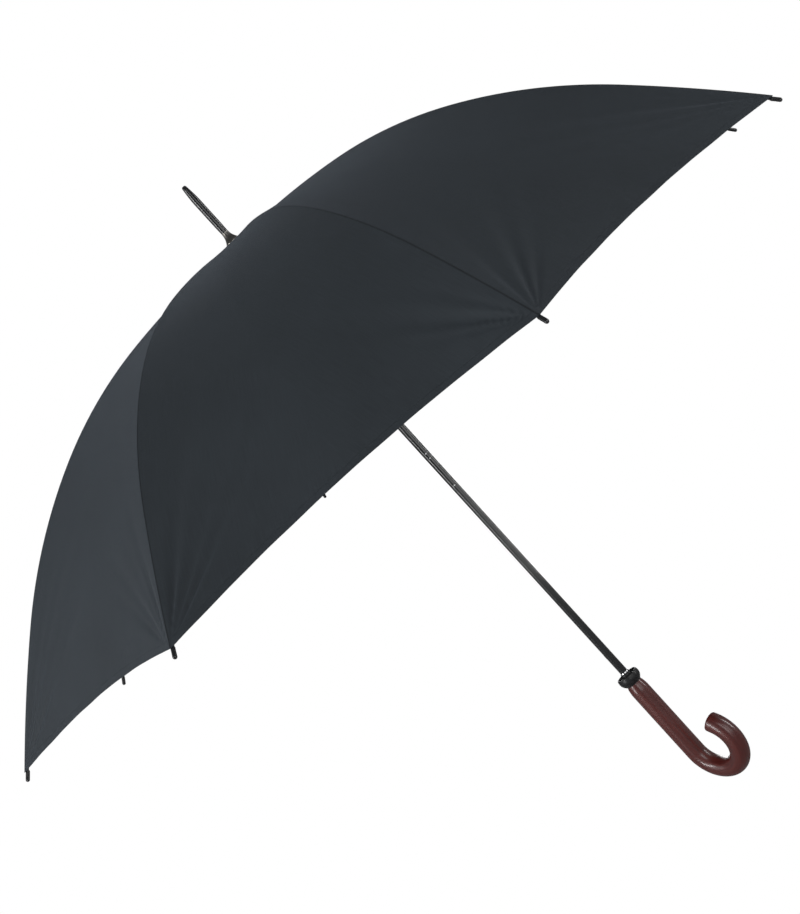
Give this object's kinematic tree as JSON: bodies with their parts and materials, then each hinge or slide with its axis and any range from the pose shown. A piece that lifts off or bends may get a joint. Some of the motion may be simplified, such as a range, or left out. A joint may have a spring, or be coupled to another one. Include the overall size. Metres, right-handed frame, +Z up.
{
  "type": "stick umbrella",
  "caption": "Open stick umbrella with a wooden crook handle, a tubular shaft, a folding rib frame and a domed fabric canopy.",
  "frame": {"origin": "lowest point of the crook handle, on the shaft's axis", "axes": "+Z up the shaft to the ferrule, +X the way the crook opens, rib planes at 22.5 degrees and every 45 degrees from +X"},
  "size_m": [1.1118, 1.1118, 0.971],
  "materials": {
    "rib_enamel": "satin black enamel on steel",
    "shaft_enamel": "gloss black enamel on steel tube",
    "pewter": "dark pewter plating",
    "bright_steel": "bright plated steel",
    "black_plastic": "gloss black moulding",
    "tip_plastic": "black moulded tips",
    "mahogany": "dark red stained and lacquered wood",
    "canopy_cloth": "dark charcoal pongee weave"
  },
  "bodies": {
    "frame": {"shaft": "shaft_enamel", "ferrule": "shaft_enamel", "crown_bell": "pewter", "crown_washer": "black_plastic", "top_notch": "black_plastic", "notch_wire": "bright_steel", "spring_rivets": "bright_steel", "stop_rivet": "bright_steel", "cup_ring": "bright_steel", "tip_cup": "black_plastic", "handle_ring": "black_plastic", "handle": "mahogany"},
    "runner": {"runner": "black_plastic", "runner_wire": "bright_steel"},
    "top_catch": {"top_catch": "bright_steel"},
    "bottom_catch": {"bottom_catch": "bright_steel"},
    "rib_1": {"rib_1": "rib_enamel", "canopy_panel_1": "canopy_cloth"},
    "outer_1": {"rib_outer_1": "rib_enamel", "rib_tip_1": "tip_plastic"},
    "stretcher_1": {"stretcher_1": "rib_enamel"},
    "rib_2": {"rib_2": "rib_enamel", "canopy_panel_2": "canopy_cloth"},
    "outer_2": {"rib_outer_2": "rib_enamel", "rib_tip_2": "tip_plastic"},
    "stretcher_2": {"stretcher_2": "rib_enamel"},
    "rib_3": {"rib_3": "rib_enamel", "canopy_panel_3": "canopy_cloth"},
    "outer_3": {"rib_outer_3": "rib_enamel", "rib_tip_3": "tip_plastic"},
    "stretcher_3": {"stretcher_3": "rib_enamel"},
    "rib_4": {"rib_4": "rib_enamel", "canopy_panel_4": "canopy_cloth"},
    "outer_4": {"rib_outer_4": "rib_enamel", "rib_tip_4": "tip_plastic"},
    "stretcher_4": {"stretcher_4": "rib_enamel"},
    "rib_5": {"rib_5": "rib_enamel", "canopy_panel_5": "canopy_cloth"},
    "outer_5": {"rib_outer_5": "rib_enamel", "rib_tip_5": "tip_plastic", "tie_strap": "canopy_cloth", "strap_stud": "tip_plastic"},
    "stretcher_5": {"stretcher_5": "rib_enamel"},
    "rib_6": {"rib_6": "rib_enamel", "canopy_panel_6": "canopy_cloth"},
    "outer_6": {"rib_outer_6": "rib_enamel", "rib_tip_6": "tip_plastic"},
    "stretcher_6": {"stretcher_6": "rib_enamel"},
    "rib_7": {"rib_7": "rib_enamel", "canopy_panel_7": "canopy_cloth"},
    "outer_7": {"rib_outer_7": "rib_enamel", "rib_tip_7": "tip_plastic"},
    "stretcher_7": {"stretcher_7": "rib_enamel"},
    "rib_8": {"rib_8": "rib_enamel", "canopy_panel_8": "canopy_cloth"},
    "outer_8": {"rib_outer_8": "rib_enamel", "rib_tip_8": "tip_plastic"},
    "stretcher_8": {"stretcher_8": "rib_enamel"}
  },
  "joints": [
    {"name": "canopy_fold", "type": "hinge", "parent": "frame", "child": "rib_1", "pos_m": [0.00831, 0.00344, 0.875], "axis": [-0.3827, 0.9239, 0], "range_deg": [0, 75], "deforming": ["canopy_panel_1", "canopy_panel_2", "canopy_panel_3", "canopy_panel_4", "canopy_panel_5", "canopy_panel_6", "canopy_panel_7", "canopy_panel_8", "top_catch", "bottom_catch"]},
    {"name": "rib_1_flex", "type": "hinge", "parent": "rib_1", "child": "outer_1", "pos_m": [0.29518, 0.12227, 0.80994], "axis": [-0.3827, 0.9239, 0], "range_deg": [-23.25, 0]},
    {"name": "stretcher_1_fold", "type": "hinge", "parent": "rib_1", "child": "stretcher_1", "pos_m": [0.29518, 0.12227, 0.80994], "axis": [-0.3827, 0.9239, 0], "range_deg": [-150, 0]},
    {"name": "rib_2_fold", "type": "hinge", "parent": "frame", "child": "rib_2", "pos_m": [0.00344, 0.00831, 0.875], "axis": [-0.9239, 0.3827, 0], "range_deg": [0, 75]},
    {"name": "rib_2_flex", "type": "hinge", "parent": "rib_2", "child": "outer_2", "pos_m": [0.12227, 0.29518, 0.80994], "axis": [-0.9239, 0.3827, 0], "range_deg": [-23.25, 0]},
    {"name": "stretcher_2_fold", "type": "hinge", "parent": "rib_2", "child": "stretcher_2", "pos_m": [0.12227, 0.29518, 0.80994], "axis": [-0.9239, 0.3827, 0], "range_deg": [-150, 0]},
    {"name": "rib_3_fold", "type": "hinge", "parent": "frame", "child": "rib_3", "pos_m": [-0.00344, 0.00831, 0.875], "axis": [-0.9239, -0.3827, 0], "range_deg": [0, 75]},
    {"name": "rib_3_flex", "type": "hinge", "parent": "rib_3", "child": "outer_3", "pos_m": [-0.12227, 0.29518, 0.80994], "axis": [-0.9239, -0.3827, 0], "range_deg": [-23.25, 0]},
    {"name": "stretcher_3_fold", "type": "hinge", "parent": "rib_3", "child": "stretcher_3", "pos_m": [-0.12227, 0.29518, 0.80994], "axis": [-0.9239, -0.3827, 0], "range_deg": [-150, 0]},
    {"name": "rib_4_fold", "type": "hinge", "parent": "frame", "child": "rib_4", "pos_m": [-0.00831, 0.00344, 0.875], "axis": [-0.3827, -0.9239, 0], "range_deg": [0, 75]},
    {"name": "rib_4_flex", "type": "hinge", "parent": "rib_4", "child": "outer_4", "pos_m": [-0.29518, 0.12227, 0.80994], "axis": [-0.3827, -0.9239, 0], "range_deg": [-23.25, 0]},
    {"name": "stretcher_4_fold", "type": "hinge", "parent": "rib_4", "child": "stretcher_4", "pos_m": [-0.29518, 0.12227, 0.80994], "axis": [-0.3827, -0.9239, 0], "range_deg": [-150, 0]},
    {"name": "rib_5_fold", "type": "hinge", "parent": "frame", "child": "rib_5", "pos_m": [-0.00831, -0.00344, 0.875], "axis": [0.3827, -0.9239, 0], "range_deg": [0, 75]},
    {"name": "rib_5_flex", "type": "hinge", "parent": "rib_5", "child": "outer_5", "pos_m": [-0.29518, -0.12227, 0.80994], "axis": [0.3827, -0.9239, 0], "range_deg": [-23.25, 0]},
    {"name": "stretcher_5_fold", "type": "hinge", "parent": "rib_5", "child": "stretcher_5", "pos_m": [-0.29518, -0.12227, 0.80994], "axis": [0.3827, -0.9239, 0], "range_deg": [-150, 0]},
    {"name": "rib_6_fold", "type": "hinge", "parent": "frame", "child": "rib_6", "pos_m": [-0.00344, -0.00831, 0.875], "axis": [0.9239, -0.3827, 0], "range_deg": [0, 75]},
    {"name": "rib_6_flex", "type": "hinge", "parent": "rib_6", "child": "outer_6", "pos_m": [-0.12227, -0.29518, 0.80994], "axis": [0.9239, -0.3827, 0], "range_deg": [-23.25, 0]},
    {"name": "stretcher_6_fold", "type": "hinge", "parent": "rib_6", "child": "stretcher_6", "pos_m": [-0.12227, -0.29518, 0.80994], "axis": [0.9239, -0.3827, 0], "range_deg": [-150, 0]},
    {"name": "rib_7_fold", "type": "hinge", "parent": "frame", "child": "rib_7", "pos_m": [0.00344, -0.00831, 0.875], "axis": [0.9239, 0.3827, 0], "range_deg": [0, 75]},
    {"name": "rib_7_flex", "type": "hinge", "parent": "rib_7", "child": "outer_7", "pos_m": [0.12227, -0.29518, 0.80994], "axis": [0.9239, 0.3827, 0], "range_deg": [-23.25, 0]},
    {"name": "stretcher_7_fold", "type": "hinge", "parent": "rib_7", "child": "stretcher_7", "pos_m": [0.12227, -0.29518, 0.80994], "axis": [0.9239, 0.3827, 0], "range_deg": [-150, 0]},
    {"name": "rib_8_fold", "type": "hinge", "parent": "frame", "child": "rib_8", "pos_m": [0.00831, -0.00344, 0.875], "axis": [0.3827, 0.9239, 0], "range_deg": [0, 75]},
    {"name": "rib_8_flex", "type": "hinge", "parent": "rib_8", "child": "outer_8", "pos_m": [0.29518, -0.12227, 0.80994], "axis": [0.3827, 0.9239, 0], "range_deg": [-23.25, 0]},
    {"name": "stretcher_8_fold", "type": "hinge", "parent": "rib_8", "child": "stretcher_8", "pos_m": [0.29518, -0.12227, 0.80994], "axis": [0.3827, 0.9239, 0], "range_deg": [-150, 0]},
    {"name": "runner_level", "type": "hinge", "parent": "stretcher_1", "child": "runner", "pos_m": [0.00831, 0.00344, 0.74488], "axis": [-0.3827, 0.9239, 0], "range_deg": [0, 75]},
    {"name": "top_catch_press", "type": "slide", "parent": "frame", "child": "top_catch", "axis": [1, 0, 0], "range_m": [0, 0.0032], "stiffness_N_per_m": 500},
    {"name": "bottom_catch_press", "type": "slide", "parent": "frame", "child": "bottom_catch", "axis": [1, 0, 0], "range_m": [0, 0.0024], "stiffness_N_per_m": 500}
  ],
  "couplings": [
    {"joint": "rib_1_flex", "follows": "canopy_fold", "ratio": -0.31},
    {"joint": "stretcher_1_fold", "follows": "canopy_fold", "ratio": -2},
    {"joint": "rib_2_fold", "follows": "canopy_fold", "ratio": 1},
    {"joint": "rib_2_flex", "follows": "canopy_fold", "ratio": -0.31},
    {"joint": "stretcher_2_fold", "follows": "canopy_fold", "ratio": -2},
    {"joint": "rib_3_fold", "follows": "canopy_fold", "ratio": 1},
    {"joint": "rib_3_flex", "follows": "canopy_fold", "ratio": -0.31},
    {"joint": "stretcher_3_fold", "follows": "canopy_fold", "ratio": -2},
    {"joint": "rib_4_fold", "follows": "canopy_fold", "ratio": 1},
    {"joint": "rib_4_flex", "follows": "canopy_fold", "ratio": -0.31},
    {"joint": "stretcher_4_fold", "follows": "canopy_fold", "ratio": -2},
    {"joint": "rib_5_fold", "follows": "canopy_fold", "ratio": 1},
    {"joint": "rib_5_flex", "follows": "canopy_fold", "ratio": -0.31},
    {"joint": "stretcher_5_fold", "follows": "canopy_fold", "ratio": -2},
    {"joint": "rib_6_fold", "follows": "canopy_fold", "ratio": 1},
    {"joint": "rib_6_flex", "follows": "canopy_fold", "ratio": -0.31},
    {"joint": "stretcher_6_fold", "follows": "canopy_fold", "ratio": -2},
    {"joint": "rib_7_fold", "follows": "canopy_fold", "ratio": 1},
    {"joint": "rib_7_flex", "follows": "canopy_fold", "ratio": -0.31},
    {"joint": "stretcher_7_fold", "follows": "canopy_fold", "ratio": -2},
    {"joint": "rib_8_fold", "follows": "canopy_fold", "ratio": 1},
    {"joint": "rib_8_flex", "follows": "canopy_fold", "ratio": -0.31},
    {"joint": "stretcher_8_fold", "follows": "canopy_fold", "ratio": -2},
    {"joint": "runner_level", "follows": "canopy_fold", "ratio": 1}
  ]
}
